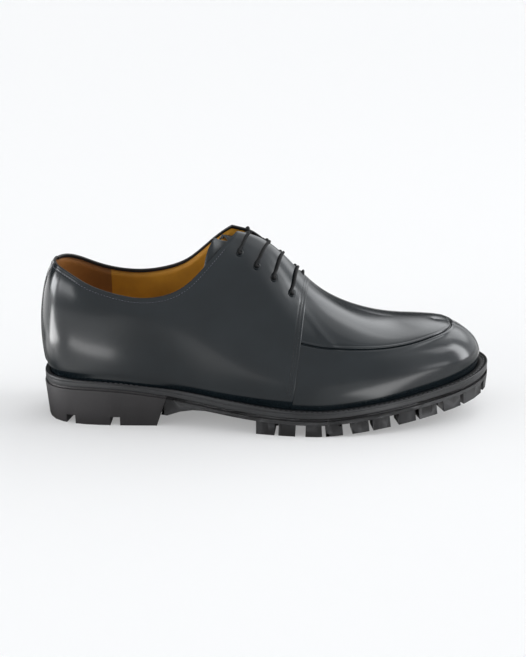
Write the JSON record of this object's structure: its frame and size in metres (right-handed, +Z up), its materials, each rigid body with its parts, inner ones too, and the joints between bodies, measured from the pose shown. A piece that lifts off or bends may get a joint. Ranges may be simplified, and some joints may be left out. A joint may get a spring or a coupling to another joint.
{
  "type": "dress shoe",
  "caption": "Right apron-front derby shoe in polished black leather, with a split toe, tan lining, a welt and a lugged rubber sole.",
  "frame": {"origin": "under the middle of the shoe's bounding box, on the floor it stands on", "axes": "+X to the toe, +Y to the big toe side, +Z up"},
  "size_m": [0.3028, 0.1092, 0.1289],
  "materials": {
    "leather": "polished smooth black calf",
    "lining": "matt tan lining leather",
    "welting": "satin black",
    "rubber": "matt black",
    "cord": "waxed black cotton"
  },
  "bodies": {
    "root": {"upper": "leather", "tongue": "leather", "insole": "lining", "welt": "welting", "midsole": "welting", "outsole": "rubber", "heel": "rubber", "lace_bar_1": "cord", "lace_bar_2": "cord", "lace_bar_3": "cord", "lace_bar_4": "cord"}
  },
  "joints": []
}
